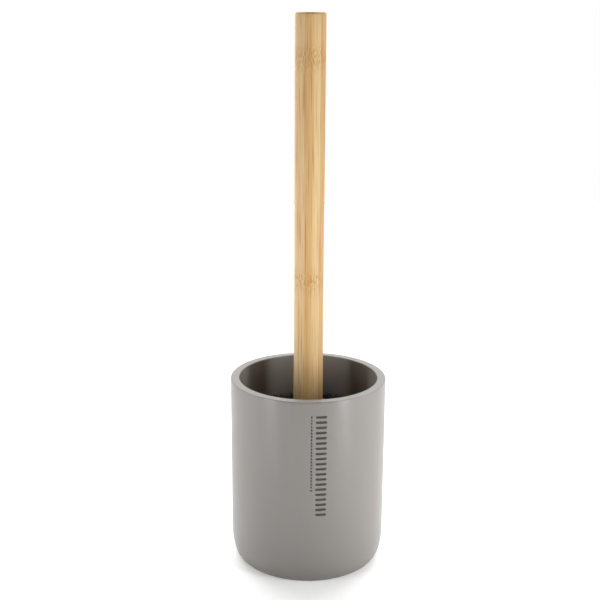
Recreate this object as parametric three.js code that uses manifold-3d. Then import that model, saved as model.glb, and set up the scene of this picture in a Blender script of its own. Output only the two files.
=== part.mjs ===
// Toilet brush standing in an open cast-resin cup.
//
// Millimetres, +Z up. The origin is the centre of the face that the object stands on, and every
// piece but the engraved mark is round about the Z axis. The cup's engraved front faces -Y.
import * as THREE from "three";
import { mergeVertices } from "three/addons/utils/BufferGeometryUtils.js";
import Module from "manifold-3d";

const wasm = await Module();
wasm.setup();

// ---- driving dimensions --------------------------------------------------------------------

const GAP = 0.3; // between pieces that touch

// Cup
const CUP_RADIUS = 50; // outside, at the mouth
const CUP_RIM_Z = 123; // height of the rim above the floor it stands on
const CUP_DRAFT = 0.2; // how much narrower the outside is at the foot of the wall
const CUP_WALL = 5.6; // at the mouth
const CUP_INNER_DRAFT = 1.5; // how much narrower the inside is at the foot of the wall
const CUP_FLOOR = 8; // thickness of the bottom
const CUP_CORNER_RADIAL = 6; // outer bottom corner, an ellipse
const CUP_CORNER_HEIGHT = 18;
const CUP_INNER_CORNER = 12;
const RIM_OUTER_ROUND = 1.5;
const RIM_INNER_ROUND = 1.2;

// Non-slip pad let into the underside
const PAD_MARGIN = 2.6; // flat foot left round the pad
const PAD_THICKNESS = 2;
const PAD_PROUD = 0.5; // how far the pad stands out below the cup

// Engraved mark on the front: a column of bars, and a column of dots beside it
const MARK_TOP_DROP = 9; // from the rim to the top of both columns
const MARK_DEPTH = 0.5;
const BAR_COUNT = 20;
const BAR_PITCH = 3.4;
const BAR_LENGTH = 6.9;
const BAR_HEIGHT = 1.4;
const BAR_OFFSET = 8.3; // round the wall, from the cup's front line
const DOT_COUNT = 24;
const DOT_PITCH = 2.1;
const DOT_RADIUS = 0.55;
const DOT_OFFSET = 2.3;

// Brush head
const HEAD_STANDOFF = 0.3; // from the cup's inside floor to the lowest bristles
const HEAD_DROP = 25.7; // from the cup's rim down to the top of the bristles
const BRISTLE_CLEARANCE = 4.5; // from the bristle tips to the cup at its narrowest
const CORE_RADIUS = 11;
const COLLAR_OVERHANG = 1.5; // of the collar beyond the core
const COLLAR_HEIGHT = 8;
const STUD_RADIUS = 4;
const THREAD_LENGTH = 15; // what is screwed into the handle
const ROW_COUNT = 13;
const ROW_GAP = 0.9; // between one row's bristles and the next
const TUFT_COUNT = 14; // tufts in a row
const TUFT_ROOT_BAND = 2.6; // depth over which neighbouring tufts touch
const TUFT_FILL = 0.86; // share of a tuft's sector that its tip fills
const END_TUFT_LENGTH = 9; // bristles under the head
const END_TUFT_SPREAD = 5; // how far they lean outwards

// Seal between the head and the handle
const SEAL_INSET = 0.35; // of its edge behind the handle's
const SEAL_THICKNESS = 1.5;

// Handle
const HANDLE_RADIUS = 9.4;
const HANDLE_LENGTH = 243.6;
const HANDLE_TOP_ROUND = 1.5;
const HANDLE_FOOT_ROUND = 0.8;
const INSERT_WALL = 1.7;
const INSERT_SPARE_DEPTH = 2; // insert that is left above the stud's end

// ---- places worked out from them -----------------------------------------------------------

const CUP_FOOT_RADIUS = CUP_RADIUS - CUP_DRAFT;
const CUP_INNER_RADIUS = CUP_RADIUS - CUP_WALL;
const CUP_INNER_FOOT_RADIUS = CUP_INNER_RADIUS - CUP_INNER_DRAFT;
const CUP_FOOT_Z = PAD_PROUD;
const PAD_RADIUS = CUP_FOOT_RADIUS - CUP_CORNER_RADIAL - PAD_MARGIN;
const PAD_RECESS_Z = PAD_THICKNESS + GAP;
const CUP_FLOOR_Z = CUP_FOOT_Z + CUP_FLOOR;
const HEAD_FOOT_Z = CUP_FLOOR_Z + HEAD_STANDOFF;
const CORE_FOOT_Z = HEAD_FOOT_Z + END_TUFT_LENGTH + GAP;
const FIRST_ROW_Z = CORE_FOOT_Z + GAP;
const COLLAR_Z = CUP_RIM_Z - HEAD_DROP;
const COLLAR_RADIUS = CORE_RADIUS + COLLAR_OVERHANG;
const BRISTLE_RADIUS = CUP_INNER_FOOT_RADIUS - BRISTLE_CLEARANCE;
const ROW_PITCH = (COLLAR_Z - FIRST_ROW_Z) / ROW_COUNT;
const ROW_HEIGHT = ROW_PITCH - ROW_GAP;
const COLLAR_TOP_Z = COLLAR_Z + COLLAR_HEIGHT;
const SEAL_Z = COLLAR_TOP_Z + GAP;
const SEAL_RADIUS = HANDLE_RADIUS - SEAL_INSET;
const HANDLE_FOOT_Z = SEAL_Z + SEAL_THICKNESS + GAP;
const STUD_TOP_Z = HANDLE_FOOT_Z + THREAD_LENGTH;
const INSERT_BORE_RADIUS = STUD_RADIUS + GAP;
const INSERT_RADIUS = INSERT_BORE_RADIUS + INSERT_WALL;
const INSERT_TOP_Z = STUD_TOP_Z + INSERT_SPARE_DEPTH;

const CUP_SEGMENTS = 48;
const ROUND_SEGMENTS = 32;

// ---- shape helpers -------------------------------------------------------------------------

// Points of a quarter ellipse, from angle `from` to `to`, in radians.
function arcPoints(centreR, centreZ, radiusR, radiusZ, from, to, steps) {
  const points = [];
  for (let i = 0; i <= steps; i += 1) {
    const angle = from + ((to - from) * i) / steps;
    points.push([centreR + radiusR * Math.cos(angle), centreZ + radiusZ * Math.sin(angle)]);
  }
  return points;
}

// A body of revolution about Z from [radius, z] points, bottom to top round the outside.
function turned(points, segments) {
  const profile = points.map(([r, z]) => new THREE.Vector2(r, z));
  const geometry = new THREE.LatheGeometry(profile, segments);
  geometry.rotateX(Math.PI / 2);
  return welded(geometry);
}

function welded(geometry) {
  geometry.deleteAttribute("normal");
  geometry.deleteAttribute("uv");
  return mergeVertices(geometry, 1e-4);
}

function solidFrom(geometry) {
  return new wasm.Manifold(
    new wasm.Mesh({
      numProp: 3,
      vertProperties: new Float32Array(geometry.attributes.position.array),
      triVerts: new Uint32Array(geometry.index.array),
    }),
  );
}

function geometryFrom(solid) {
  const mesh = solid.getMesh();
  return new THREE.BufferGeometry()
    .setAttribute("position", new THREE.BufferAttribute(mesh.vertProperties, mesh.numProp))
    .setIndex(new THREE.BufferAttribute(mesh.triVerts, 1));
}

// ---- materials -----------------------------------------------------------------------------

const castResin = new THREE.MeshStandardMaterial({ color: "#97928c", roughness: 0.55, metalness: 0 });
const foamPad = new THREE.MeshStandardMaterial({ color: "#3a3a3a", roughness: 0.9, metalness: 0 });
const bamboo = new THREE.MeshStandardMaterial({ color: "#d8b27c", roughness: 0.5, metalness: 0 });
const blackPlastic = new THREE.MeshStandardMaterial({ color: "#1b1a1a", roughness: 0.4, metalness: 0 });
const blackBristle = new THREE.MeshStandardMaterial({ color: "#141313", roughness: 0.6, metalness: 0 });
const rubber = new THREE.MeshStandardMaterial({ color: "#262525", roughness: 0.8, metalness: 0 });
const brass = new THREE.MeshStandardMaterial({ color: "#b8954e", roughness: 0.35, metalness: 1 });

function piece(name, geometry, material) {
  const mesh = new THREE.Mesh(geometry, material);
  mesh.name = name;
  return mesh;
}

// ---- cup -----------------------------------------------------------------------------------

// Outside radius of the wall at height z, above the bottom corner.
function wallRadiusAt(z) {
  const cornerTop = CUP_FOOT_Z + CUP_CORNER_HEIGHT;
  const share = (CUP_RIM_Z - z) / (CUP_RIM_Z - cornerTop);
  return CUP_RADIUS - CUP_DRAFT * share;
}

function cupShell() {
  const quarter = Math.PI / 2;
  return turned(
    [
      [0, PAD_RECESS_Z],
      [PAD_RADIUS + GAP, PAD_RECESS_Z],
      [PAD_RADIUS + GAP, CUP_FOOT_Z],
      ...arcPoints(
        CUP_FOOT_RADIUS - CUP_CORNER_RADIAL,
        CUP_FOOT_Z + CUP_CORNER_HEIGHT,
        CUP_CORNER_RADIAL,
        CUP_CORNER_HEIGHT,
        -quarter,
        0,
        8,
      ),
      ...arcPoints(
        CUP_RADIUS - RIM_OUTER_ROUND,
        CUP_RIM_Z - RIM_OUTER_ROUND,
        RIM_OUTER_ROUND,
        RIM_OUTER_ROUND,
        0,
        quarter,
        3,
      ),
      ...arcPoints(
        CUP_INNER_RADIUS + RIM_INNER_ROUND,
        CUP_RIM_Z - RIM_INNER_ROUND,
        RIM_INNER_ROUND,
        RIM_INNER_ROUND,
        quarter,
        2 * quarter,
        3,
      ),
      ...arcPoints(
        CUP_INNER_FOOT_RADIUS - CUP_INNER_CORNER,
        CUP_FLOOR_Z + CUP_INNER_CORNER,
        CUP_INNER_CORNER,
        CUP_INNER_CORNER,
        0,
        -quarter,
        5,
      ),
      [0, CUP_FLOOR_Z],
    ],
    CUP_SEGMENTS,
  );
}

// A bar with round ends, lying level, centred on the origin.
function barOutline() {
  const radius = BAR_HEIGHT / 2;
  const reach = BAR_LENGTH / 2 - radius;
  const shape = new THREE.Shape();
  shape.absarc(reach, 0, radius, -Math.PI / 2, Math.PI / 2, false);
  shape.absarc(-reach, 0, radius, Math.PI / 2, (3 * Math.PI) / 2, false);
  return shape;
}

function dotOutline() {
  const shape = new THREE.Shape();
  shape.absarc(0, 0, DOT_RADIUS, 0, 2 * Math.PI, false);
  return shape;
}

// A tool that sinks `outline` into the front wall at height z, `offset` round from the front line.
function engravingTool(outline, curveSegments, offset, z) {
  const geometry = new THREE.ExtrudeGeometry(outline, {
    depth: 2 * MARK_DEPTH,
    bevelEnabled: false,
    curveSegments,
  });
  const radius = wallRadiusAt(z);
  geometry.rotateX(Math.PI / 2);
  geometry.translate(0, MARK_DEPTH - radius, z);
  geometry.rotateZ(offset / radius);
  return solidFrom(welded(geometry));
}

function holderCup() {
  let cup = solidFrom(cupShell());
  const top = CUP_RIM_Z - MARK_TOP_DROP;
  for (let i = 0; i < BAR_COUNT; i += 1) {
    const z = top - BAR_HEIGHT / 2 - i * BAR_PITCH;
    cup = cup.subtract(engravingTool(barOutline(), 4, BAR_OFFSET, z));
  }
  for (let i = 0; i < DOT_COUNT; i += 1) {
    const z = top - DOT_RADIUS - i * DOT_PITCH;
    cup = cup.subtract(engravingTool(dotOutline(), 4, DOT_OFFSET, z));
  }
  return piece("holder_cup", geometryFrom(cup), castResin);
}

function basePad() {
  const disc = turned(
    [
      [0, 0],
      [PAD_RADIUS, 0],
      [PAD_RADIUS, PAD_THICKNESS],
      [0, PAD_THICKNESS],
    ],
    CUP_SEGMENTS,
  );
  return piece("base_pad", disc, foamPad);
}

// ---- brush head ----------------------------------------------------------------------------

// Core, collar and threaded stud, moulded in one.
function brushCore() {
  const core = turned(
    [
      [0, CORE_FOOT_Z],
      [CORE_RADIUS, CORE_FOOT_Z],
      [CORE_RADIUS, COLLAR_Z],
      [COLLAR_RADIUS, COLLAR_Z],
      [COLLAR_RADIUS, COLLAR_TOP_Z],
      [STUD_RADIUS, COLLAR_TOP_Z],
      [STUD_RADIUS, STUD_TOP_Z],
      [0, STUD_TOP_Z],
    ],
    ROUND_SEGMENTS,
  );
  return piece("brush_core", core, blackPlastic);
}

// Outline of one row of tufts: tufts that widen to the tips, joined in a band at their roots.
function tuftRowOutline(innerRadius, tipRadius) {
  const sector = (2 * Math.PI) / TUFT_COUNT;
  const bandRadius = innerRadius + TUFT_ROOT_BAND;
  const shape = new THREE.Shape();
  for (let i = 0; i < TUFT_COUNT; i += 1) {
    const middle = i * sector;
    const reach = (TUFT_FILL * sector) / 2;
    const corners = [
      [bandRadius, middle - sector / 2],
      [tipRadius, middle - reach],
      [tipRadius, middle + reach],
    ];
    corners.forEach(([radius, angle], k) => {
      const x = radius * Math.cos(angle);
      const y = radius * Math.sin(angle);
      if (i === 0 && k === 0) shape.moveTo(x, y);
      else shape.lineTo(x, y);
    });
  }
  shape.closePath();
  const hole = new THREE.Path();
  hole.absarc(0, 0, innerRadius, 0, 2 * Math.PI, true);
  shape.holes.push(hole);
  return shape;
}

// Every second row is turned by half a tuft, so that tufts stand over gaps.
function bristleRow(index) {
  const outline = tuftRowOutline(CORE_RADIUS + GAP, BRISTLE_RADIUS);
  const geometry = new THREE.ExtrudeGeometry(outline, {
    depth: ROW_HEIGHT,
    bevelEnabled: false,
    curveSegments: TUFT_COUNT,
  });
  geometry.rotateZ((index % 2) * (Math.PI / TUFT_COUNT));
  geometry.translate(0, 0, FIRST_ROW_Z + index * ROW_PITCH);
  const number = String(index + 1).padStart(2, "0");
  return piece("bristle_row_" + number, welded(geometry), blackBristle);
}

// Bristles under the head, leaning outwards to a wider foot.
function endBristles() {
  const bundle = turned(
    [
      [0, HEAD_FOOT_Z],
      [CORE_RADIUS + END_TUFT_SPREAD, HEAD_FOOT_Z],
      [CORE_RADIUS, CORE_FOOT_Z - GAP],
      [0, CORE_FOOT_Z - GAP],
    ],
    ROUND_SEGMENTS,
  );
  return piece("bristle_end_tuft", bundle, blackBristle);
}

// ---- handle --------------------------------------------------------------------------------

function ring(innerRadius, outerRadius, bottom, top, segments) {
  return turned(
    [
      [innerRadius, bottom],
      [outerRadius, bottom],
      [outerRadius, top],
      [innerRadius, top],
      [innerRadius, bottom],
    ],
    segments,
  );
}

function sealingWasher() {
  const washer = ring(
    STUD_RADIUS + GAP,
    SEAL_RADIUS,
    SEAL_Z,
    SEAL_Z + SEAL_THICKNESS,
    ROUND_SEGMENTS,
  );
  return piece("sealing_washer", washer, rubber);
}

function threadedInsert() {
  const insert = ring(
    INSERT_BORE_RADIUS,
    INSERT_RADIUS,
    HANDLE_FOOT_Z,
    INSERT_TOP_Z,
    ROUND_SEGMENTS,
  );
  return piece("threaded_insert", insert, brass);
}

function bambooHandle() {
  const top = HANDLE_FOOT_Z + HANDLE_LENGTH;
  const boreRadius = INSERT_RADIUS + GAP;
  const boreTop = INSERT_TOP_Z + GAP;
  const quarter = Math.PI / 2;
  const bar = turned(
    [
      [0, boreTop],
      [boreRadius, boreTop],
      [boreRadius, HANDLE_FOOT_Z],
      ...arcPoints(
        HANDLE_RADIUS - HANDLE_FOOT_ROUND,
        HANDLE_FOOT_Z + HANDLE_FOOT_ROUND,
        HANDLE_FOOT_ROUND,
        HANDLE_FOOT_ROUND,
        -quarter,
        0,
        2,
      ),
      ...arcPoints(
        HANDLE_RADIUS - HANDLE_TOP_ROUND,
        top - HANDLE_TOP_ROUND,
        HANDLE_TOP_ROUND,
        HANDLE_TOP_ROUND,
        0,
        quarter,
        3,
      ),
      [0, top],
    ],
    ROUND_SEGMENTS,
  );
  return piece("bamboo_handle", bar, bamboo);
}

// ---- the object ----------------------------------------------------------------------------

const holder = new THREE.Group();
holder.add(holderCup(), basePad());

const brush = new THREE.Group();
brush.add(brushCore(), endBristles(), sealingWasher(), threadedInsert(), bambooHandle());
for (let i = 0; i < ROW_COUNT; i += 1) {
  brush.add(bristleRow(i));
}

const object = new THREE.Group();
object.add(holder, brush);

export default object;
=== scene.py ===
"""Toilet brush standing in an open cast-resin cup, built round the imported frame.

Metres, +Z up, origin at the centre of the face that the cup stands on. The cup's engraved front
faces -Y. Each sub-assembly is a class that builds its meshes and dresses them.
"""

import logging
import math
import random
from dataclasses import dataclass
from enum import Enum

import bmesh
import bpy
from mathutils import Matrix, Vector, noise


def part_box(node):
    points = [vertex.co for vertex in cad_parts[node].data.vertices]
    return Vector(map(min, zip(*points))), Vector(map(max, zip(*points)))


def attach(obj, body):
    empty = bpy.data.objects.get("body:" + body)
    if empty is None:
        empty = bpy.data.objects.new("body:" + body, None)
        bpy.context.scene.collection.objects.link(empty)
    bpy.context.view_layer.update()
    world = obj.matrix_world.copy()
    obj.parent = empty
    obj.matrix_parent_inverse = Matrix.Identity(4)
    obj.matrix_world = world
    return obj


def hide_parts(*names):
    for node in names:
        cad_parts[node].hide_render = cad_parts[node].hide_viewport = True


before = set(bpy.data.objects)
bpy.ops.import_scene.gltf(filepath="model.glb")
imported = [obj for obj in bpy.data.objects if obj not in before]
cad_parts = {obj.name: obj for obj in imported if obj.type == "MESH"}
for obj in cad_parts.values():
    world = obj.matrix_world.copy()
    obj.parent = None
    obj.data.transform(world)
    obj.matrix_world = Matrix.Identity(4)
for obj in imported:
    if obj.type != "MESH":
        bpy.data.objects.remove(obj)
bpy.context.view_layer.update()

MM = 0.001
FULL_TURN = 2 * math.pi
GOLDEN_ANGLE = math.pi * (3 - math.sqrt(5))
Z_AXIS = (0.0, 0.0, 1.0)
ORIGIN = (0.0, 0.0, 0.0)

log = logging.getLogger("toilet_brush")


class Body(Enum):
    """The rigid bodies that pieces ride on."""

    HOLDER = "holder"
    HEAD = "brush_head"
    SEAL = "seal"
    HANDLE = "handle"


class Slot(Enum):
    """The record's material slots."""

    RESIN = "cast_resin"
    PAD = "foam_pad"
    PLASTIC = "black_plastic"
    BRISTLE = "bristle"
    RUBBER = "seal_rubber"
    BRASS = "insert_brass"
    BAMBOO = "bamboo"


# ---- node and mesh helpers ------------------------------------------------------------------


def linear(hex_code: str) -> tuple[float, float, float, float]:
    """Turns an sRGB hex colour into a linear colour with full alpha.

    Args:
        hex_code: The colour as "#rrggbb".

    Returns:
        Red, green, blue and alpha, linear.
    """
    parts = [int(hex_code[i : i + 2], 16) / 255 for i in (1, 3, 5)]
    flat = [c / 12.92 if c <= 0.04045 else ((c + 0.055) / 1.055) ** 2.4 for c in parts]
    return (*flat, 1.0)


def add_node(
    tree: bpy.types.NodeTree,
    kind: str,
    sockets: dict | None = None,
    stops: list[tuple[float, str]] | None = None,
    **settings,
) -> bpy.types.Node:
    """Adds a shader node with its settings, socket values and links.

    Args:
        tree: The node tree that gets the node.
        kind: The node's type name, such as "ShaderNodeMath".
        sockets: Input name or index to a value, or to an output socket that is linked to it.
        stops: A colour ramp's positions and sRGB hex colours, from low to high.
        settings: Properties of the node itself, such as operation="MULTIPLY".

    Returns:
        The new node.
    """
    node = tree.nodes.new(kind)
    for name, value in settings.items():
        setattr(node, name, value)
    for key, value in (sockets or {}).items():
        if isinstance(value, bpy.types.NodeSocket):
            tree.links.new(value, node.inputs[key])
        else:
            node.inputs[key].default_value = value
    if stops:
        elements = node.color_ramp.elements
        elements.remove(elements[-1])
        elements[0].position = stops[0][0]
        elements[0].color = linear(stops[0][1])
        for position, colour in stops[1:]:
            elements.new(position).color = linear(colour)
    return node


def new_material(name: str) -> tuple[bpy.types.Material, bpy.types.NodeTree, bpy.types.Node]:
    """Makes an empty node material with a Principled shader on its output.

    Args:
        name: The material's name.

    Returns:
        The material, its node tree and its Principled node.
    """
    material = bpy.data.materials.new(name)
    material.use_nodes = True
    tree = material.node_tree
    tree.nodes.clear()
    shader = add_node(tree, "ShaderNodeBsdfPrincipled")
    add_node(tree, "ShaderNodeOutputMaterial", {"Surface": shader.outputs["BSDF"]})
    return material, tree, shader


def dress(
    name: str,
    bm: bmesh.types.BMesh,
    material: bpy.types.Material,
    body: Body,
    slot: Slot,
    *nodes: str,
    sharp_angle: float = 35.0,
) -> bpy.types.Object:
    """Turns a finished bmesh into a piece that rides on a body in place of CAD nodes.

    Args:
        name: The piece's name.
        bm: Its shape, in the row frame; it is freed here.
        material: Its finish.
        body: The body it rides on.
        slot: The record's slot for that finish; not used.
        nodes: The CAD nodes it stands for.
        sharp_angle: Degrees past which an edge is shaded sharp.

    Returns:
        The piece.
    """
    mesh = bpy.data.meshes.new(name)
    bm.to_mesh(mesh)
    bm.free()
    mesh.shade_smooth()
    mesh.set_sharp_from_angle(angle=math.radians(sharp_angle))
    mesh.materials.append(material)
    piece = bpy.data.objects.new(name, mesh)
    bpy.context.scene.collection.objects.link(piece)
    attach(piece, body.value)
    if nodes:
        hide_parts(*nodes)
    log.info("%s: %d faces, rides on %s", name, len(mesh.polygons), body.value)
    return piece


class TurnedProfile:
    """A half outline of [radius, z] corners that is rounded and then spun about Z."""

    def __init__(self, corners: list[tuple[float, float]], closed: bool = False) -> None:
        """Draws the outline as a wire.

        Args:
            corners: Radius and height of each corner, in order.
            closed: Whether the last corner joins the first, as on a ring.
        """
        self.bm = bmesh.new()
        self.corners = [self.bm.verts.new((r, 0.0, z)) for r, z in corners]
        pairs = list(zip(self.corners, self.corners[1:]))
        if closed:
            pairs.append((self.corners[-1], self.corners[0]))
        for pair in pairs:
            self.bm.edges.new(pair)

    def round_corners(self, radius: float, segments: int, *indices: int) -> "TurnedProfile":
        """Rounds some corners.

        Args:
            radius: How far along its edges each corner is cut back.
            segments: Edges in the rounded stretch.
            indices: Which of the outline's first corners to round.

        Returns:
            This profile.
        """
        bmesh.ops.bevel(
            self.bm,
            geom=[self.corners[i] for i in indices],
            offset=radius,
            offset_type="OFFSET",
            segments=segments,
            profile=0.5,
            affect="VERTICES",
            material=-1,
            clamp_overlap=False,
        )
        return self

    def stretch_radii(self, factor: float) -> "TurnedProfile":
        """Scales every radius, so that a round corner becomes an elliptical one."""
        bmesh.ops.scale(self.bm, vec=(factor, 1.0, 1.0), verts=self.bm.verts)
        return self

    def divide_upright(self, spacing: float, least_radius: float = 0.0) -> "TurnedProfile":
        """Divides the long upright edges into short ones.

        Args:
            spacing: Wanted length of the short edges.
            least_radius: Edges nearer to the axis than this are left whole.

        Returns:
            This profile.
        """
        for edge in list(self.bm.edges):
            low, high = (v.co for v in edge.verts)
            rise = abs(high.z - low.z)
            if rise > 2 * spacing and min(low.x, high.x) >= least_radius:
                bmesh.ops.subdivide_edges(self.bm, edges=[edge], cuts=round(rise / spacing) - 1)
        return self

    def spin(self, steps: int) -> bmesh.types.BMesh:
        """Spins the outline a full turn about Z into a closed shell.

        Args:
            steps: Segments round the shell.

        Returns:
            The shell, its faces pointing outwards.
        """
        bm = self.bm
        bmesh.ops.spin(
            bm,
            geom=bm.verts[:] + bm.edges[:],
            cent=ORIGIN,
            axis=Z_AXIS,
            dvec=ORIGIN,
            angle=FULL_TURN,
            steps=steps,
            use_merge=True,
            use_normal_flip=False,
            use_duplicate=False,
        )
        bmesh.ops.remove_doubles(bm, verts=bm.verts, dist=0.001 * MM)
        bmesh.ops.recalc_face_normals(bm, faces=bm.faces)
        return bm


def smooth_step(low: float, high: float, value: float) -> float:
    """Runs smoothly from 0 at low to 1 at high."""
    share = min(1.0, max(0.0, (value - low) / (high - low)))
    return share * share * (3 - 2 * share)


# ---- finishes -------------------------------------------------------------------------------


@dataclass(frozen=True)
class CastPolyresin:
    """Grey pigmented polyresin, cast in a silicone mould and left with a soft sheen.

    The eye sees an even warm stone grey, a sheen that is a little cloudy from the mineral filler
    and slightly rippled, and dark paint wiped into the engraving. The bore is painted a darker,
    cooler grey: painted shade inside the cup.
    """

    colour: str = "#7f7b77"
    # Painted shade: the bore's darker, cooler grey stands in for the shade inside the cup.
    bore_shade_colour: str = "#757476"
    paint_colour: str = "#3a3531"
    roughness: float = 0.31
    roughness_spread: float = 0.025
    cloud_size: float = 22 * MM
    ripple_size: float = 3 * MM

    def build(self) -> bpy.types.Material:
        """Makes the material."""
        material, tree, shader = new_material("cast_polyresin")
        place = add_node(tree, "ShaderNodeTexCoord").outputs["Object"]
        cloud = add_node(
            tree,
            "ShaderNodeTexNoise",
            {"Vector": place, "Scale": 1 / self.cloud_size, "Detail": 4.0, "Roughness": 0.6},
        ).outputs["Fac"]
        ripple = add_node(
            tree,
            "ShaderNodeTexNoise",
            {"Vector": place, "Scale": 1 / self.ripple_size, "Detail": 2.0},
        ).outputs["Fac"]
        bore_shade = add_node(tree, "ShaderNodeAttribute", attribute_name="bore_shade").outputs["Fac"]
        # The bore gets the darker, cooler grey: painted shade inside the cup.
        cast = add_node(
            tree,
            "ShaderNodeMix",
            {0: bore_shade, 6: linear(self.colour), 7: linear(self.bore_shade_colour)},
            data_type="RGBA",
        ).outputs[2]
        engraved = add_node(tree, "ShaderNodeAttribute", attribute_name="engraved").outputs["Fac"]
        paint_share = add_node(
            tree,
            "ShaderNodeMapRange",
            {"Value": engraved, "From Min": 0.2, "From Max": 0.7},
        ).outputs["Result"]
        painted = add_node(
            tree,
            "ShaderNodeMix",
            {0: paint_share, 6: cast, 7: linear(self.paint_colour)},
            data_type="RGBA",
        ).outputs[2]
        sheen = add_node(
            tree,
            "ShaderNodeMapRange",
            {
                "Value": cloud,
                "From Min": 0.3,
                "From Max": 0.7,
                "To Min": self.roughness - self.roughness_spread,
                "To Max": self.roughness + self.roughness_spread,
            },
        ).outputs["Result"]
        relief = add_node(
            tree,
            "ShaderNodeBump",
            {"Height": ripple, "Strength": 0.3, "Distance": 0.04 * MM},
        ).outputs["Normal"]
        tree.links.new(painted, shader.inputs["Base Color"])
        tree.links.new(sheen, shader.inputs["Roughness"])
        tree.links.new(relief, shader.inputs["Normal"])
        return material


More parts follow.
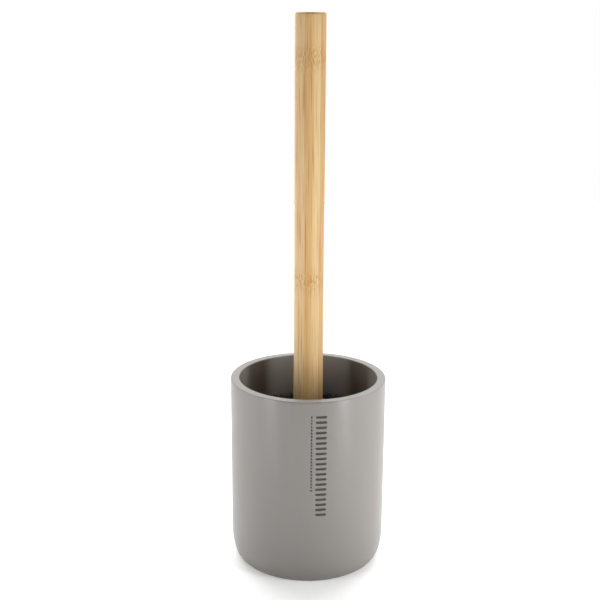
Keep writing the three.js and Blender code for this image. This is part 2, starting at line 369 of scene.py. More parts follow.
@dataclass(frozen=True)
class LaminatedBamboo:
    """Bar turned from glued bamboo strips, sanded and given one coat of clear satin lacquer.

    The eye sees upright strips of cream, tan and honey with glue lines between them, fine long
    fibres, and speckled knots where the strips crossed the cane's nodes. The end grain shows the
    cut fibre bundles as brown dots.
    """

    bar_top: float
    bar_radius: float
    roughness: float = 0.5
    specular: float = 0.35
    fibre_width: float = 0.75 * MM
    fine_fibre_width: float = 0.42 * MM
    fibre_length: float = 60 * MM
    knot_heights: tuple[float, ...] = (324 * MM, 188 * MM)
    knot_reach: float = 12 * MM
    bundle_size: float = 0.9 * MM
    front_strips: tuple[tuple[float, str], ...] = (
        (-9.4 * MM, "#d2b383"),
        (-3.2 * MM, "#caa56e"),
        (0.7 * MM, "#cfab72"),
        (2.4 * MM, "#cfb17f"),
        (6.3 * MM, "#c09c68"),
    )
    back_strips: tuple[tuple[float, str], ...] = (
        (-9.4 * MM, "#cda874"),
        (-5.1 * MM, "#c39d62"),
        (0.4 * MM, "#d3b27e"),
        (5.4 * MM, "#c8a36c"),
    )

    def _strips(
        self,
        tree: bpy.types.NodeTree,
        across: bpy.types.NodeSocket,
        strips: tuple[tuple[float, str], ...],
    ) -> bpy.types.NodeSocket:
        """Colours one ply by strip.

        Args:
            tree: The material's node tree.
            across: Place across the bar, in metres.
            strips: Left edge and colour of each strip.

        Returns:
            The ply's colour.
        """
        share = add_node(
            tree,
            "ShaderNodeMapRange",
            {"Value": across, "From Min": -self.bar_radius, "From Max": self.bar_radius},
        ).outputs["Result"]
        stops = []
        blend = 0.012
        for (edge, colour), before in zip(strips, (None, *strips)):
            position = (edge + self.bar_radius) / (2 * self.bar_radius)
            if before is not None:
                stops.append((position - blend, before[1]))
            stops.append((max(0.0, position + blend), colour))
        ramp = add_node(tree, "ShaderNodeValToRGB", {"Fac": share}, stops=stops)
        return ramp.outputs["Color"]

    def build(self) -> bpy.types.Material:
        """Makes the material."""
        material, tree, shader = new_material("laminated_bamboo")
        coordinates = add_node(tree, "ShaderNodeTexCoord")
        place = coordinates.outputs["Object"]
        axes = add_node(tree, "ShaderNodeSeparateXYZ", {"Vector": place}).outputs

        # How near a point is to a knot, 1 on it and 0 past its reach.
        knot = None
        for height in self.knot_heights:
            offset = add_node(
                tree, "ShaderNodeMath", {0: axes["Z"], 1: height}, operation="SUBTRACT"
            ).outputs[0]
            distance = add_node(tree, "ShaderNodeMath", {0: offset}, operation="ABSOLUTE").outputs[0]
            near = add_node(
                tree,
                "ShaderNodeMapRange",
                {"Value": distance, "From Min": self.knot_reach, "From Max": 0.0},
                interpolation_type="SMOOTHSTEP",
            ).outputs["Result"]
            if knot is None:
                knot = near
            else:
                knot = add_node(
                    tree, "ShaderNodeMath", {0: knot, 1: near}, operation="MAXIMUM"
                ).outputs[0]

        # Fibres run straight, and wander round the knots.
        wander = add_node(
            tree,
            "ShaderNodeTexNoise",
            {"Vector": place, "Scale": 1 / (4 * MM), "Detail": 2.0},
        ).outputs["Color"]
        centred = add_node(
            tree,
            "ShaderNodeVectorMath",
            {0: wander, 1: (0.5, 0.5, 0.5)},
            operation="SUBTRACT",
        ).outputs[0]
        push = add_node(
            tree, "ShaderNodeMath", {0: knot, 1: 0.9 * MM}, operation="MULTIPLY"
        ).outputs[0]
        pushed = add_node(
            tree, "ShaderNodeVectorMath", {0: centred, "Scale": push}, operation="SCALE"
        ).outputs[0]
        bent = add_node(
            tree, "ShaderNodeVectorMath", {0: place, 1: pushed}, operation="ADD"
        ).outputs[0]
        along = self.fibre_length
        coarse_place = add_node(
            tree,
            "ShaderNodeMapping",
            {"Vector": bent, "Scale": (1 / self.fibre_width, 1 / self.fibre_width, 1 / along)},
        ).outputs["Vector"]
        coarse = add_node(
            tree,
            "ShaderNodeTexNoise",
            {"Vector": coarse_place, "Scale": 0.5, "Detail": 3.0, "Roughness": 0.55},
        ).outputs["Fac"]
        fine_scale = 1 / self.fine_fibre_width
        fine_place = add_node(
            tree,
            "ShaderNodeMapping",
            {"Vector": bent, "Scale": (fine_scale, fine_scale, 3 / along)},
        ).outputs["Vector"]
        fine = add_node(
            tree,
            "ShaderNodeTexNoise",
            {"Vector": fine_place, "Scale": 0.5, "Detail": 2.0},
        ).outputs["Fac"]

        # Strips, darker along the coarse fibres.
        front = self._strips(tree, axes["X"], self.front_strips)
        back = self._strips(tree, axes["X"], self.back_strips)
        ply = add_node(
            tree,
            "ShaderNodeMapRange",
            {"Value": axes["Y"], "From Min": 0.9 * MM, "From Max": 1.2 * MM},
        ).outputs["Result"]
        strips = add_node(
            tree, "ShaderNodeMix", {0: ply, 6: front, 7: back}, data_type="RGBA"
        ).outputs[2]
        streaks = add_node(
            tree,
            "ShaderNodeValToRGB",
            {"Fac": coarse},
            stops=[(0.3, "#e6d6bd"), (0.48, "#ffffff"), (0.6, "#ffffff"), (0.7, "#f1e8da")],
        ).outputs["Color"]
        streaked = add_node(
            tree,
            "ShaderNodeMix",
            {0: 0.85, 6: strips, 7: streaks},
            data_type="RGBA",
            blend_type="MULTIPLY",
        ).outputs[2]
        lines = add_node(
            tree,
            "ShaderNodeValToRGB",
            {"Fac": fine},
            stops=[(0.3, "#d3a878"), (0.45, "#ffffff")],
        ).outputs["Color"]
        fibred = add_node(
            tree,
            "ShaderNodeMix",
            {0: 0.7, 6: streaked, 7: lines},
            data_type="RGBA",
            blend_type="MULTIPLY",
        ).outputs[2]

        # Short brown flecks on the knots.
        fleck_place = add_node(
            tree,
            "ShaderNodeMapping",
            {"Vector": bent, "Scale": (1 / (0.6 * MM), 1 / (0.6 * MM), 1 / (3.2 * MM))},
        ).outputs["Vector"]
        flecks = add_node(
            tree, "ShaderNodeTexNoise", {"Vector": fleck_place, "Scale": 1.0, "Detail": 1.0}
        ).outputs["Fac"]
        fleck_share = add_node(
            tree,
            "ShaderNodeMapRange",
            {"Value": flecks, "From Min": 0.45, "From Max": 0.62, "To Max": 0.7},
        ).outputs["Result"]
        on_knot = add_node(
            tree, "ShaderNodeMath", {0: fleck_share, 1: knot}, operation="MULTIPLY"
        ).outputs[0]
        flecked = add_node(
            tree,
            "ShaderNodeMix",
            {0: on_knot, 6: fibred, 7: linear("#a8783f")},
            data_type="RGBA",
        ).outputs[2]

        # End grain on the flat ends.
        facing = add_node(
            tree, "ShaderNodeSeparateXYZ", {"Vector": coordinates.outputs["Normal"]}
        ).outputs["Z"]
        upright = add_node(tree, "ShaderNodeMath", {0: facing}, operation="ABSOLUTE").outputs[0]
        end_share = add_node(
            tree,
            "ShaderNodeMapRange",
            {"Value": upright, "From Min": 0.75, "From Max": 0.95},
        ).outputs["Result"]
        bundle = add_node(
            tree,
            "ShaderNodeTexVoronoi",
            {"Vector": place, "Scale": 1 / self.bundle_size},
        ).outputs["Distance"]
        end_grain = add_node(
            tree,
            "ShaderNodeValToRGB",
            {"Fac": bundle},
            stops=[(0.15, "#a37a48"), (0.42, "#dfbd8c")],
        ).outputs["Color"]
        surface = add_node(
            tree,
            "ShaderNodeMix",
            {0: end_share, 6: flecked, 7: end_grain},
            data_type="RGBA",
        ).outputs[2]

        sheen = add_node(
            tree,
            "ShaderNodeMapRange",
            {
                "Value": coarse,
                "From Min": 0.3,
                "From Max": 0.7,
                "To Min": self.roughness + 0.08,
                "To Max": self.roughness - 0.04,
            },
        ).outputs["Result"]
        fibre_relief = add_node(
            tree, "ShaderNodeBump", {"Height": fine, "Strength": 0.35, "Distance": 0.05 * MM}
        ).outputs["Normal"]
        relief = add_node(
            tree,
            "ShaderNodeBump",
            {"Height": on_knot, "Strength": 0.3, "Distance": -0.08 * MM, "Normal": fibre_relief},
        ).outputs["Normal"]
        shader.inputs["Specular IOR Level"].default_value = self.specular
        tree.links.new(surface, shader.inputs["Base Color"])
        tree.links.new(sheen, shader.inputs["Roughness"])
        tree.links.new(relief, shader.inputs["Normal"])
        return material


@dataclass(frozen=True)
class MouldedPolypropylene:
    """Black injection-moulded polypropylene with a fine spark-eroded texture.

    The eye sees near black with a soft grey sheen that the fine texture breaks up. The texture's
    dips are painted darker than its crests, as shade.
    """

    colour: str = "#171616"
    roughness: float = 0.42
    texture_size: float = 0.5 * MM

    def build(self) -> bpy.types.Material:
        """Makes the material."""
        material, tree, shader = new_material("moulded_polypropylene")
        place = add_node(tree, "ShaderNodeTexCoord").outputs["Object"]
        texture = add_node(
            tree,
            "ShaderNodeTexNoise",
            {"Vector": place, "Scale": 1 / self.texture_size, "Detail": 2.0},
        ).outputs["Fac"]
        # The texture's dips are painted darker than its crests: painted shade in the relief.
        shade = add_node(
            tree,
            "ShaderNodeValToRGB",
            {"Fac": texture},
            stops=[(0.3, self.colour), (0.7, "#211f1f")],
        ).outputs["Color"]
        sheen = add_node(
            tree,
            "ShaderNodeMapRange",
            {"Value": texture, "To Min": self.roughness - 0.08, "To Max": self.roughness + 0.1},
        ).outputs["Result"]
        relief = add_node(
            tree, "ShaderNodeBump", {"Height": texture, "Strength": 0.4, "Distance": 0.04 * MM}
        ).outputs["Normal"]
        tree.links.new(shade, shader.inputs["Base Color"])
        tree.links.new(sheen, shader.inputs["Roughness"])
        tree.links.new(relief, shader.inputs["Normal"])
        return material


@dataclass(frozen=True)
class NylonBristle:
    """Drawn black nylon filament, crimped a little.

    The eye sees thin black strands with a soft highlight along them, greyer at the cut tips.
    """

    colour: str = "#121111"
    tip_colour: str = "#2a2827"
    tip_radius: float = 38.5 * MM
    roughness: float = 0.38

    def build(self) -> bpy.types.Material:
        """Makes the material."""
        material, tree, shader = new_material("nylon_bristle")
        place = add_node(tree, "ShaderNodeTexCoord").outputs["Object"]
        flat = add_node(
            tree,
            "ShaderNodeVectorMath",
            {0: place, 1: (1.0, 1.0, 0.0)},
            operation="MULTIPLY",
        ).outputs[0]
        reach = add_node(
            tree, "ShaderNodeVectorMath", {0: flat}, operation="LENGTH"
        ).outputs["Value"]
        strand = add_node(
            tree, "ShaderNodeTexNoise", {"Vector": place, "Scale": 1 / (1.2 * MM)}
        ).outputs["Fac"]
        worn = add_node(
            tree,
            "ShaderNodeMapRange",
            {"Value": reach, "From Min": self.tip_radius - 6 * MM, "From Max": self.tip_radius},
        ).outputs["Result"]
        share = add_node(
            tree, "ShaderNodeMath", {0: worn, 1: strand}, operation="MULTIPLY"
        ).outputs[0]
        shade = add_node(
            tree,
            "ShaderNodeValToRGB",
            {"Fac": share},
            stops=[(0.0, self.colour), (0.7, self.tip_colour)],
        ).outputs["Color"]
        sheen = add_node(
            tree,
            "ShaderNodeMapRange",
            {"Value": strand, "To Min": self.roughness - 0.1, "To Max": self.roughness + 0.15},
        ).outputs["Result"]
        tree.links.new(shade, shader.inputs["Base Color"])
        tree.links.new(sheen, shader.inputs["Roughness"])
        return material


@dataclass(frozen=True)
class MouldedRubber:
    """Black moulded nitrile rubber, matt with a dusty bloom."""

    colour: str = "#232222"
    bloom_colour: str = "#363433"
    roughness: float = 0.72

    def build(self) -> bpy.types.Material:
        """Makes the material."""
        material, tree, shader = new_material("moulded_rubber")
        place = add_node(tree, "ShaderNodeTexCoord").outputs["Object"]
        bloom = add_node(
            tree, "ShaderNodeTexNoise", {"Vector": place, "Scale": 1 / (3 * MM), "Detail": 4.0}
        ).outputs["Fac"]
        shade = add_node(
            tree,
            "ShaderNodeValToRGB",
            {"Fac": bloom},
            stops=[(0.4, self.colour), (0.7, self.bloom_colour)],
        ).outputs["Color"]
        relief = add_node(
            tree, "ShaderNodeBump", {"Height": bloom, "Strength": 0.3, "Distance": 0.05 * MM}
        ).outputs["Normal"]
        shader.inputs["Roughness"].default_value = self.roughness
        tree.links.new(shade, shader.inputs["Base Color"])
        tree.links.new(relief, shader.inputs["Normal"])
        return material


@dataclass(frozen=True)
class ClosedCellFoam:
    """Charcoal closed-cell foam sheet, die cut: matt, with a skin of tiny open pores."""

    colour: str = "#3b3a39"
    pore_shade_colour: str = "#232221"
    pore_size: float = 0.8 * MM
    roughness: float = 0.85

    def build(self) -> bpy.types.Material:
        """Makes the material."""
        material, tree, shader = new_material("closed_cell_foam")
        place = add_node(tree, "ShaderNodeTexCoord").outputs["Object"]
        pores = add_node(
            tree, "ShaderNodeTexVoronoi", {"Vector": place, "Scale": 1 / self.pore_size}
        ).outputs["Distance"]
        # The pores are painted darker than the skin: painted shade inside them.
        shade = add_node(
            tree,
            "ShaderNodeValToRGB",
            {"Fac": pores},
            stops=[(0.1, self.pore_shade_colour), (0.4, self.colour)],
        ).outputs["Color"]
        relief = add_node(
            tree, "ShaderNodeBump", {"Height": pores, "Strength": 0.5, "Distance": 0.1 * MM}
        ).outputs["Normal"]
        shader.inputs["Roughness"].default_value = self.roughness
        tree.links.new(shade, shader.inputs["Base Color"])
        tree.links.new(relief, shader.inputs["Normal"])
        return material


@dataclass(frozen=True)
class TurnedBrass:
    """Free-cutting brass, turned and left bare: yellow metal with fine rings from the tool."""

    colour: str = "#d9b25f"
    tarnish_colour: str = "#b98f48"
    roughness: float = 0.3
    ring_spacing: float = 0.35 * MM

    def build(self) -> bpy.types.Material:
        """Makes the material."""
        material, tree, shader = new_material("turned_brass")
        place = add_node(tree, "ShaderNodeTexCoord").outputs["Object"]
        rings = add_node(
            tree,
            "ShaderNodeTexWave",
            {"Vector": place, "Scale": 0.05 / self.ring_spacing, "Distortion": 0.4},
            wave_type="BANDS",
            bands_direction="Z",
        ).outputs["Fac"]
        stain = add_node(
            tree, "ShaderNodeTexNoise", {"Vector": place, "Scale": 1 / (4 * MM), "Detail": 3.0}
        ).outputs["Fac"]
        shade = add_node(
            tree,
            "ShaderNodeValToRGB",
            {"Fac": stain},
            stops=[(0.4, self.colour), (0.7, self.tarnish_colour)],
        ).outputs["Color"]
        sheen = add_node(
            tree,
            "ShaderNodeMapRange",
            {"Value": rings, "To Min": self.roughness - 0.06, "To Max": self.roughness + 0.08},
        ).outputs["Result"]
        relief = add_node(
            tree, "ShaderNodeBump", {"Height": rings, "Strength": 0.2, "Distance": 0.01 * MM}
        ).outputs["Normal"]
        shader.inputs["Metallic"].default_value = 1.0
        tree.links.new(shade, shader.inputs["Base Color"])
        tree.links.new(sheen, shader.inputs["Roughness"])
        tree.links.new(relief, shader.inputs["Normal"])
        return material


# ---- the holder -----------------------------------------------------------------------------


@dataclass
class Engraving:
    """A column of bars and a column of dots, sunk into the front of the cup."""

    top_drop: float = 9 * MM
    depth: float = 0.5 * MM
    edge: float = 0.16 * MM
    bar_count: int = 20
    bar_pitch: float = 3.4 * MM
    bar_length: float = 6.9 * MM
    bar_height: float = 1.4 * MM
    bar_offset: float = 8.3 * MM
    dot_count: int = 24
    dot_pitch: float = 2.1 * MM
    dot_radius: float = 0.55 * MM
    dot_offset: float = 2.3 * MM

    def span(self) -> tuple[float, float, float]:
        """Gives the left and right reach round the wall and the height of the whole mark."""
        left = self.dot_offset - self.dot_radius
        right = self.bar_offset + self.bar_length / 2
        return left, right, self.bar_count * self.bar_pitch

    def share_at(self, round_wall: float, below_top: float) -> float:
        """Says how far a point of the wall is sunk.

        Args:
            round_wall: Distance round the wall from the front line.
            below_top: Distance below the top of the mark.

        Returns:
            0 on the plain wall and 1 on the floor of a bar or dot.
        """
        row = min(self.bar_count - 1, max(0, int(below_top / self.bar_pitch)))
        drop = below_top - self.bar_height / 2 - row * self.bar_pitch
        half_straight = (self.bar_length - self.bar_height) / 2
        past_end = max(0.0, abs(round_wall - self.bar_offset) - half_straight)
        outside = math.hypot(past_end, drop) - self.bar_height / 2
        dot_row = min(self.dot_count - 1, max(0, int(below_top / self.dot_pitch)))
        dot_drop = below_top - self.dot_radius - dot_row * self.dot_pitch
        outside = min(outside, math.hypot(round_wall - self.dot_offset, dot_drop) - self.dot_radius)
        return smooth_step(self.edge, -self.edge, outside)


@dataclass
class Holder:
    """Open cup of cast resin with its engraved front, and the foam pad let into its foot."""

    wall: float = 5.6 * MM
    draft: float = 0.2 * MM
    inner_draft: float = 1.5 * MM
    floor: float = 8 * MM
    corner_radial: float = 6 * MM
    corner_height: float = 18 * MM
    inner_corner: float = 12 * MM
    rim_outer_round: float = 0.9 * MM
    rim_inner_round: float = 0.8 * MM
    pad_clearance: float = 0.3 * MM
    pad_edge_round: float = 0.4 * MM
    steps: int = 192
    ring_spacing: float = 2 * MM
    fine_cuts: int = 9

    def __post_init__(self) -> None:
        """Reads the cup's and pad's places from the frame."""
        low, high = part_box("holder_cup")
        self.radius, self.foot, self.rim = high.x, low.z, high.z
        pad_low, pad_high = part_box("base_pad")
        self.pad_radius, self.pad_bottom, self.pad_top = pad_high.x, pad_low.z, pad_high.z
        self.engraving = Engraving()

    def wall_radius(self, z: float) -> float:
        """Gives the outside radius of the plain wall at a height."""
        corner_top = self.foot + self.corner_height
        return self.radius - self.draft * (self.rim - z) / (self.rim - corner_top)

    def _shell(self) -> bmesh.types.BMesh:
        """Spins the cup's shell, without its engraving."""
        stretch = self.corner_height / self.corner_radial
        foot_radius = self.wall_radius(self.foot + self.corner_height)
        inner = self.radius - self.wall
        recess = self.pad_radius + self.pad_clearance
        ceiling = self.pad_top + self.pad_clearance
        inner_floor = self.foot + self.floor
        corners = [
            (0.0, ceiling),
            (recess, ceiling),
            (recess, self.foot),
            (foot_radius, self.foot),
            (self.radius, self.rim),
            (inner, self.rim),
            (inner - self.inner_draft, inner_floor),
            (0.0, inner_floor),
        ]
        profile = TurnedProfile([(r * stretch, z) for r, z in corners])
        profile.round_corners(self.corner_height, 24, 3)
        profile.stretch_radii(1 / stretch)
        profile.round_corners(self.inner_corner, 12, 6)
        profile.round_corners(self.rim_outer_round, 8, 4)
        profile.round_corners(self.rim_inner_round, 8, 5)
        profile.round_corners(0.5 * MM, 3, 2)
        profile.divide_upright(self.ring_spacing, foot_radius - 0.1 * MM)
        return profile.spin(self.steps)

    def _engrave(self, bm: bmesh.types.BMesh) -> None:
        """Marks the bore for its painted shade, divides the front wall finely and sinks the mark
        into it.

        Args:
            bm: The cup's shell.
        """
        left, right, height = self.engraving.span()
        top = self.rim - self.engraving.top_drop
        margin = 1.0 * MM
        front = []
        for face in bm.faces:
            centre = face.calc_center_median()
            round_wall = math.atan2(centre.x, -centre.y) * self.radius
            outside = math.hypot(centre.x, centre.y) > self.wall_radius(centre.z) - 0.5 * MM
            across = left - margin < round_wall < right + margin
            if outside and across and top - height - margin < centre.z < top + margin:
                front.append(face)
        edges = list({edge for face in front for edge in face.edges})
        bmesh.ops.subdivide_edges(bm, edges=edges, cuts=self.fine_cuts, use_grid_fill=True)
        # Marks the bore, where the resin gets its painted shade.
        bore_shade = bm.verts.layers.float.new("bore_shade")
        bore_top = self.rim - self.rim_inner_round
        for vertex in bm.verts:
            x, y, z = vertex.co
            in_bore = math.hypot(x, y) < self.radius - self.wall + 0.01 * MM
            vertex[bore_shade] = float(in_bore and self.foot + self.floor - 0.01 * MM < z < bore_top)
        layer = bm.verts.layers.float.new("engraved")
        for vertex in bm.verts:
            x, y, z = vertex.co
            round_wall = math.atan2(x, -y) * self.radius
            plain = self.wall_radius(z)
            outside = math.hypot(x, y) > plain - 0.5 * MM
            across = left - 2 * margin < round_wall < right + 2 * margin
            if not (outside and across and top - height - margin < z < top + margin):
                continue
            share = self.engraving.share_at(round_wall, top - z)
            target = plain - share * self.engraving.depth
            scale = target / math.hypot(x, y)
            vertex.co = Vector((x * scale, y * scale, z))
            vertex[layer] = share

    def build(self) -> None:
        """Builds and dresses the cup and its pad."""
        cup = self._shell()
        self._engrave(cup)
        dress(
            "resin_cup",
            cup,
            CastPolyresin().build(),
            Body.HOLDER,
            Slot.RESIN,
            "holder_cup",
            sharp_angle=60.0,
        )
        pad = TurnedProfile(
            [
                (0.0, self.pad_bottom),
                (self.pad_radius, self.pad_bottom),
                (self.pad_radius, self.pad_top),
                (0.0, self.pad_top),
            ]
        )
        pad.round_corners(self.pad_edge_round, 4, 1, 2)
        dress(
            "foam_foot_pad",
            pad.spin(96),
            ClosedCellFoam().build(),
            Body.HOLDER,
            Slot.PAD,
            "base_pad",
        )


# ---- the brush head -------------------------------------------------------------------------


@dataclass
class BrushHead:
    """Moulded core with its collar and screw, rows of bristle tufts, and tufts under the core."""

    collar_flutes: int = 18
    flute_depth: float = 0.5 * MM
    stud_radius: float = 3.3 * MM
    thread_crest: float = 4.1 * MM
    thread_pitch: float = 3 * MM
    tufts: int = 14
    fibres: int = 40
    fibre_radius: float = 0.3 * MM
    hole_radius: float = 1.5 * MM
    tip_fill: float = 0.92
    crown_lift: float = 2.6 * MM
    crimp: float = 0.9 * MM
    crimp_length: float = 7 * MM
    end_tufts: int = 19
    end_fibres: int = 26
    seed: int = 5

    def __post_init__(self) -> None:
        """Reads the head's places from the frame."""
        low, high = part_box("brush_core")
        self.core_foot, self.stud_top = low.z, high.z
        self.collar_radius = high.x
        seal_low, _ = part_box("sealing_washer")
        self.collar_top = seal_low.z - 0.3 * MM
        self.rows = sorted(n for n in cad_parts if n.startswith("bristle_row_"))
        row_low, row_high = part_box(self.rows[-1])
        self.tip_radius = row_high.y
        self.collar_foot = row_high.z + 0.9 * MM
        self.core_radius = self.collar_radius - 1.5 * MM

    def _core(self) -> bmesh.types.BMesh:
        """Shapes the core: rod, fluted collar and threaded stud."""
        profile = TurnedProfile(
            [
                (0.0, self.core_foot),
                (self.core_radius, self.core_foot),
                (self.core_radius, self.collar_foot),
                (self.collar_radius, self.collar_foot),
                (self.collar_radius, self.collar_top),
                (self.stud_radius, self.collar_top),
                (self.stud_radius, self.stud_top),
                (0.0, self.stud_top),
            ]
        )
        profile.round_corners(1.0 * MM, 5, 1, 4)
        profile.round_corners(0.5 * MM, 4, 3, 6)
        profile.divide_upright(1.2 * MM, self.collar_radius - 0.1 * MM)
        bm = profile.spin(144)
        for vertex in bm.verts:
            x, y, z = vertex.co
            reach = math.hypot(x, y)
            if reach < self.core_radius or not self.collar_foot < z < self.collar_top:
                continue
            wave = 0.5 + 0.5 * math.cos(self.collar_flutes * math.atan2(y, x))
            ends = smooth_step(self.collar_foot, self.collar_foot + 2 * MM, z)
            ends *= 1 - smooth_step(self.collar_top - 2.5 * MM, self.collar_top - 1 * MM, z)
            scale = 1 - self.flute_depth * wave**3 * ends / reach
            vertex.co = Vector((x * scale, y * scale, z))
        self._thread(bm)
        return bm

    def _thread(self, bm: bmesh.types.BMesh) -> None:
        """Winds the screw's ridge round the stud.

        Args:
            bm: The core, which gets the ridge.
        """
        height = self.stud_top - self.collar_top - 1.5 * self.thread_pitch
        turns = height / self.thread_pitch
        steps_per_turn = 32
        steps = round(turns * steps_per_turn)
        foot = self.collar_top + 0.4 * self.thread_pitch
        half = 0.32 * self.thread_pitch
        section = [
            bm.verts.new((self.stud_radius - 0.1 * MM, 0.0, foot - half)),
            bm.verts.new((self.thread_crest, 0.0, foot - 0.25 * half)),
            bm.verts.new((self.thread_crest, 0.0, foot + 0.25 * half)),
            bm.verts.new((self.stud_radius - 0.1 * MM, 0.0, foot + half)),
        ]
        face = bm.faces.new(section)
        ridge = bmesh.ops.spin(
            bm,
            geom=[face, *face.edges, *section],
            cent=ORIGIN,
            axis=Z_AXIS,
            dvec=(0.0, 0.0, height / steps),
            angle=FULL_TURN * turns,
            steps=steps,
            use_merge=False,
            use_normal_flip=False,
            use_duplicate=False,
        )
        del ridge
        bmesh.ops.recalc_face_normals(bm, faces=bm.faces)

    def _tuft(
        self,
        bm: bmesh.types.BMesh,
        root: Vector,
        tip: Vector,
        root_spread: Vector,
        tip_spread: Vector,
        side: Vector,
        fibres: int,
        rng: random.Random,
    ) -> None:
        """Sets one tuft of fibres between a hole in the core and its fanned-out tips.

        Args:
            bm: The mesh that gets the fibres.
            root: Middle of the hole.
            tip: Middle of the tips.
            root_spread: Half sizes of the bundle at the root, along `side` and along its normal.
            tip_spread: The same at the tips.
            side: Unit direction across the tuft.
            fibres: How many fibres the tuft has.
            rng: Where its small differences come from.
        """
        normal = (tip - root).normalized().cross(side).normalized()
        for k in range(fibres):
            reach = math.sqrt((k + 0.5) / fibres)
            angle = k * GOLDEN_ANGLE
            across, up = reach * math.cos(angle), reach * math.sin(angle)
            start = root + side * across * root_spread.x + normal * up * root_spread.y
            end = tip + side * across * tip_spread.x + normal * up * tip_spread.y
            end += (tip - root).normalized() * rng.uniform(-0.7, 0.4) * MM
            end += side * rng.uniform(-0.5, 0.5) * MM + normal * rng.uniform(-0.5, 0.5) * MM
            line = end - start
            turn = line.to_track_quat("Z", "Y").to_matrix().to_4x4()
            made = bmesh.ops.create_cone(
                bm,
                cap_ends=True,
                cap_tris=False,
                segments=4,
                radius1=self.fibre_radius,
                radius2=0.8 * self.fibre_radius,
                depth=line.length,
                matrix=Matrix.Translation((start + end) / 2) @ turn,
            )
            sides = {e for v in made["verts"] for e in v.link_edges}
            long_edges = [e for e in sides if e.calc_length() > 0.5 * line.length]
            bmesh.ops.subdivide_edges(bm, edges=long_edges, cuts=2)

    def _crimp(self, bm: bmesh.types.BMesh, shift: float) -> None:
        """Bends the fibres a little, more towards their tips.

        Args:
            bm: The mesh of fibres.
            shift: Moves the pattern, so that no two rows bend alike.
        """
        for vertex in bm.verts:
            place = vertex.co / self.crimp_length + Vector((shift, shift, shift))
            reach = math.hypot(vertex.co.x, vertex.co.y)
            share = smooth_step(self.core_radius, self.tip_radius, reach)
            vertex.co += noise.noise_vector(place) * self.crimp * share

    def _row(self, index: int, node: str) -> bmesh.types.BMesh:
        """Shapes one row of tufts.

        Args:
            index: Which row, from the bottom.
            node: The CAD node whose place it takes.

        Returns:
            The row.
        """
        low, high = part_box(node)
        rng = random.Random(self.seed + index)
        middle = (low.z + high.z) / 2
        lift = self.crown_lift if node == self.rows[-1] else 0.0
        half_sector = math.pi / self.tufts
        spread = self.tip_fill * half_sector * self.tip_radius
        half_height = (high.z - low.z) / 2 + 0.2 * MM
        bm = bmesh.new()
        self._tuft(
            bm,
            Vector((self.core_radius - 1.0 * MM, 0.0, middle)),
            Vector((self.tip_radius - 0.8 * MM, 0.0, middle + lift)),
            Vector((self.hole_radius, self.hole_radius, 0.0)),
            Vector((spread, half_height, 0.0)),
            Vector((0.0, 1.0, 0.0)),
            self.fibres,
            rng,
        )
        bmesh.ops.spin(
            bm,
            geom=bm.verts[:] + bm.edges[:] + bm.faces[:],
            cent=ORIGIN,
            axis=Z_AXIS,
            dvec=ORIGIN,
            angle=FULL_TURN * (self.tufts - 1) / self.tufts,
            steps=self.tufts - 1,
            use_merge=False,
            use_normal_flip=False,
            use_duplicate=True,
        )
        turn = Matrix.Rotation((index % 2) * half_sector, 3, "Z")
        bmesh.ops.rotate(bm, verts=bm.verts, cent=ORIGIN, matrix=turn)
        self._crimp(bm, 3.7 * index)
        return bm

    def _end_bundle(self) -> bmesh.types.BMesh:
        """Shapes the tufts under the core, which the brush stands on."""
        low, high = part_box("bristle_end_tuft")
        rng = random.Random(self.seed - 1)
        bm = bmesh.new()
        for k in range(self.end_tufts):
            reach = math.sqrt(k / (self.end_tufts - 1))
            angle = k * GOLDEN_ANGLE
            out = Vector((math.cos(angle), math.sin(angle), 0.0))
            root = out * reach * (self.core_radius - 2 * MM)
            tip = out * reach * (high.x - 2 * MM)
            self._tuft(
                bm,
                Vector((root.x, root.y, high.z + 1.0 * MM)),
                Vector((tip.x, tip.y, low.z + 0.8 * MM)),
                Vector((1.1 * MM, 1.1 * MM, 0.0)),
                Vector((2.4 * MM, 2.4 * MM, 0.0)),
                Vector((-out.y, out.x, 0.0)),
                self.end_fibres,
                rng,
            )
        return bm

    def build(self) -> None:
        """Builds and dresses the core and its bristles."""
        bristle = NylonBristle(tip_radius=self.tip_radius).build()
        dress(
            "moulded_core",
            self._core(),
            MouldedPolypropylene().build(),
            Body.HEAD,
            Slot.PLASTIC,
            "brush_core",
        )
        for index, node in enumerate(self.rows):
            name = node.replace("bristle_row", "bristles")
            dress(name, self._row(index, node), bristle, Body.HEAD, Slot.BRISTLE, node)
        dress(
            "bristles_end",
            self._end_bundle(),
            bristle,
            Body.HEAD,
            Slot.BRISTLE,
            "bristle_end_tuft",
        )


# ---- the handle -----------------------------------------------------------------------------


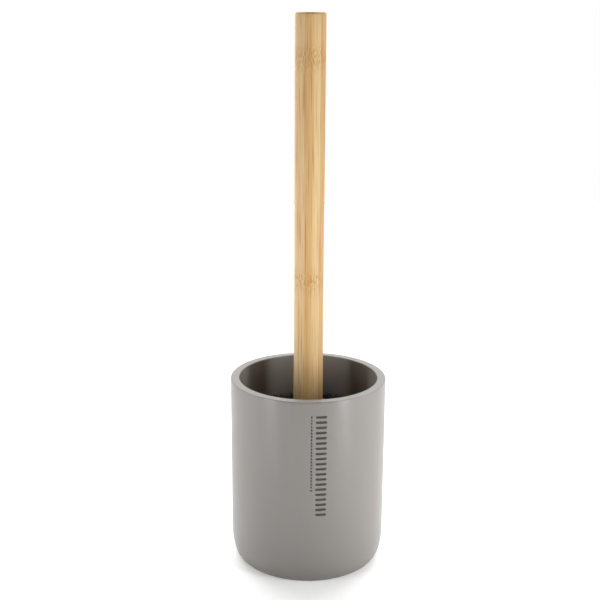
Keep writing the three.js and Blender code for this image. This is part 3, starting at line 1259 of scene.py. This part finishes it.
@dataclass
class Handle:
    """Bamboo bar with the threaded insert in its foot, and the rubber seal below it."""

    top_round: float = 1.5 * MM
    foot_round: float = 0.8 * MM
    clearance: float = 0.3 * MM
    insert_bore: float = 4.3 * MM
    insert_thread_depth: float = 0.5 * MM
    thread_pitch: float = 3 * MM
    seal_bore: float = 4.3 * MM
    seal_round: float = 0.4 * MM
    steps: int = 128

    def __post_init__(self) -> None:
        """Reads the handle's, insert's and seal's places from the frame."""
        low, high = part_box("bamboo_handle")
        self.radius, self.foot, self.top = high.x, low.z, high.z
        insert_low, insert_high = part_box("threaded_insert")
        self.insert_radius = insert_high.x
        self.insert_foot, self.insert_top = insert_low.z, insert_high.z
        seal_low, seal_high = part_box("sealing_washer")
        self.seal_radius, self.seal_foot, self.seal_top = seal_high.x, seal_low.z, seal_high.z

    def _bar(self) -> bmesh.types.BMesh:
        """Shapes the bar with its blind bore."""
        bore = self.insert_radius + self.clearance
        bore_top = self.insert_top + self.clearance
        profile = TurnedProfile(
            [
                (0.0, bore_top),
                (bore, bore_top),
                (bore, self.foot),
                (self.radius, self.foot),
                (self.radius, self.top),
                (0.0, self.top),
            ]
        )
        profile.round_corners(self.foot_round, 5, 3)
        profile.round_corners(self.top_round, 8, 4)
        profile.divide_upright(6 * MM, self.radius - 0.1 * MM)
        return profile.spin(self.steps)

    def _insert(self) -> bmesh.types.BMesh:
        """Shapes the insert, its bore grooved at the thread's pitch."""
        corners = [
            (self.insert_radius, self.insert_foot),
            (self.insert_radius, self.insert_top),
            (self.insert_bore, self.insert_top),
        ]
        groove = self.insert_top - self.thread_pitch
        while groove > self.insert_foot + self.thread_pitch / 2:
            half = 0.35 * self.thread_pitch
            deep = self.insert_bore + self.insert_thread_depth
            corners += [
                (self.insert_bore, groove + half),
                (deep, groove + 0.4 * half),
                (deep, groove - 0.4 * half),
                (self.insert_bore, groove - half),
            ]
            groove -= self.thread_pitch
        corners.append((self.insert_bore, self.insert_foot))
        profile = TurnedProfile(corners, closed=True)
        profile.round_corners(0.3 * MM, 3, 0, 1)
        return profile.spin(64)

    def build(self) -> None:
        """Builds and dresses the bar, its insert and the seal."""
        bamboo = LaminatedBamboo(bar_top=self.top, bar_radius=self.radius)
        dress(
            "bamboo_bar",
            self._bar(),
            bamboo.build(),
            Body.HANDLE,
            Slot.BAMBOO,
            "bamboo_handle",
            sharp_angle=50.0,
        )
        dress(
            "brass_insert",
            self._insert(),
            TurnedBrass().build(),
            Body.HANDLE,
            Slot.BRASS,
            "threaded_insert",
        )
        seal = TurnedProfile(
            [
                (self.seal_bore, self.seal_foot),
                (self.seal_radius, self.seal_foot),
                (self.seal_radius, self.seal_top),
                (self.seal_bore, self.seal_top),
            ],
            closed=True,
        )
        seal.round_corners(self.seal_round, 4, 0, 1, 2, 3)
        dress(
            "rubber_seal",
            seal.spin(96),
            MouldedRubber().build(),
            Body.SEAL,
            Slot.RUBBER,
            "sealing_washer",
        )


# ---- camera, floor and light ----------------------------------------------------------------


@dataclass
class Softbox:
    """A rectangular studio light, aimed at a point on the object's axis."""

    name: str
    azimuth: float
    elevation: float
    distance: float
    width: float
    height: float
    power: float
    aim_height: float

    def build(self) -> None:
        """Places the light, unseen by the camera."""
        across, up = math.radians(self.azimuth), math.radians(self.elevation)
        away = Vector(
            (math.sin(across) * math.cos(up), -math.cos(across) * math.cos(up), math.sin(up))
        )
        lamp = bpy.data.lights.new(self.name, "AREA")
        lamp.shape = "RECTANGLE"
        lamp.size, lamp.size_y = self.width, self.height
        lamp.energy = self.power
        light = bpy.data.objects.new(self.name, lamp)
        light.location = Vector((0.0, 0.0, self.aim_height)) + away * self.distance
        light.rotation_mode = "QUATERNION"
        light.rotation_quaternion = (-away).to_track_quat("-Z", "Y")
        light.visible_camera = False
        bpy.context.scene.collection.objects.link(light)


@dataclass
class Studio:
    """Pale floor, soft light and the camera."""

    camera_distance: float = 0.730
    camera_elevation: float = 18.94
    pan: float = 0.446
    tilt: float = 3.838
    roll: float = 0.45
    lens: float = 67.605
    floor_size: float = 2.6
    floor_colour: str = "#f1f1f1"
    floor_glow: float = 0.25
    sky_behind: float = 1.2
    softboxes: tuple[Softbox, ...] = (
        Softbox("right_strip", 51, 0, 0.42, 0.08, 0.36, 1.36, 0.185),
        Softbox("left_strip", -52, 0, 0.42, 0.06, 0.36, 0.82, 0.185),
        Softbox("right_panel", 85, 0, 0.6, 0.2, 0.22, 0.75, 0.11),
        Softbox("left_panel", -85, 0, 0.6, 0.2, 0.22, 0.66, 0.11),
        Softbox("back_softbox", 180, 55, 1.6, 2.0, 1.0, 36.0, 0.12),
    )

    def _camera(self, rim_height: float) -> None:
        """Places the camera, which looks down over the cup's rim.

        Args:
            rim_height: Height of the cup's rim, which the camera's distance is measured from.
        """
        up = math.radians(self.camera_elevation)
        away = Vector((0.0, -math.cos(up), math.sin(up)))
        data = bpy.data.cameras.new("camera")
        data.lens, data.sensor_width = self.lens, 36.0
        data.clip_start, data.clip_end = 0.05, 50.0
        camera = bpy.data.objects.new("camera", data)
        level = Matrix.Rotation(math.pi / 2 - up, 4, "X")
        pan = Matrix.Rotation(math.radians(self.pan), 4, "Y")
        tilt = Matrix.Rotation(math.radians(self.tilt), 4, "X")
        roll = Matrix.Rotation(math.radians(self.roll), 4, "Z")
        place = Matrix.Translation(Vector((0.0, 0.0, rim_height)) + away * self.camera_distance)
        camera.matrix_world = place @ level @ pan @ tilt @ roll
        bpy.context.scene.collection.objects.link(camera)
        bpy.context.scene.camera = camera

    def _floor(self) -> None:
        """Lays the floor, which glows a little to the camera as a bright sweep does."""
        bm = bmesh.new()
        bmesh.ops.create_grid(bm, x_segments=1, y_segments=1, size=self.floor_size / 2)
        mesh = bpy.data.meshes.new("studio_floor")
        bm.to_mesh(mesh)
        bm.free()
        material, tree, shader = new_material("pale_floor")
        shader.inputs["Base Color"].default_value = linear(self.floor_colour)
        shader.inputs["Roughness"].default_value = 0.9
        shader.inputs["Emission Color"].default_value = (1.0, 1.0, 1.0, 1.0)
        seen = add_node(tree, "ShaderNodeLightPath").outputs["Is Camera Ray"]
        glow = add_node(
            tree, "ShaderNodeMath", {0: seen, 1: self.floor_glow}, operation="MULTIPLY"
        ).outputs[0]
        tree.links.new(glow, shader.inputs["Emission Strength"])
        mesh.materials.append(material)
        floor = bpy.data.objects.new("studio_floor", mesh)
        bpy.context.scene.collection.objects.link(floor)

    def _sky(self) -> None:
        """Surrounds the scene with soft light from behind the object."""
        world = bpy.data.worlds.new("studio_sky")
        world.use_nodes = True
        tree = world.node_tree
        tree.nodes.clear()
        direction = add_node(tree, "ShaderNodeTexCoord").outputs["Generated"]
        depth = add_node(tree, "ShaderNodeSeparateXYZ", {"Vector": direction}).outputs["Y"]
        strength = add_node(
            tree,
            "ShaderNodeMapRange",
            {
                "Value": depth,
                "From Min": -0.1,
                "From Max": 0.6,
                "To Max": self.sky_behind,
            },
            interpolation_type="SMOOTHSTEP",
        ).outputs["Result"]
        seen = add_node(tree, "ShaderNodeLightPath").outputs["Is Camera Ray"]
        level = add_node(
            tree, "ShaderNodeMix", {0: seen, 2: strength, 3: 1.0}, data_type="FLOAT"
        ).outputs[0]
        sky = add_node(tree, "ShaderNodeBackground", {"Strength": level})
        sky.inputs["Color"].default_value = (1.0, 1.0, 1.0, 1.0)
        add_node(tree, "ShaderNodeOutputWorld", {"Surface": sky.outputs["Background"]})
        bpy.context.scene.world = world

    def build(self) -> None:
        """Builds the studio round the object."""
        low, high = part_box("holder_cup")
        self._camera(high.z)
        self._floor()
        self._sky()
        for softbox in self.softboxes:
            softbox.build()
        bpy.context.scene.view_settings.view_transform = "Standard"


def main() -> None:
    """Builds every sub-assembly, then the studio."""
    logging.basicConfig(level=logging.INFO, format="%(name)s %(message)s")
    Studio().build()
    Holder().build()
    BrushHead().build()
    Handle().build()


if __name__ == "__main__":
    main()
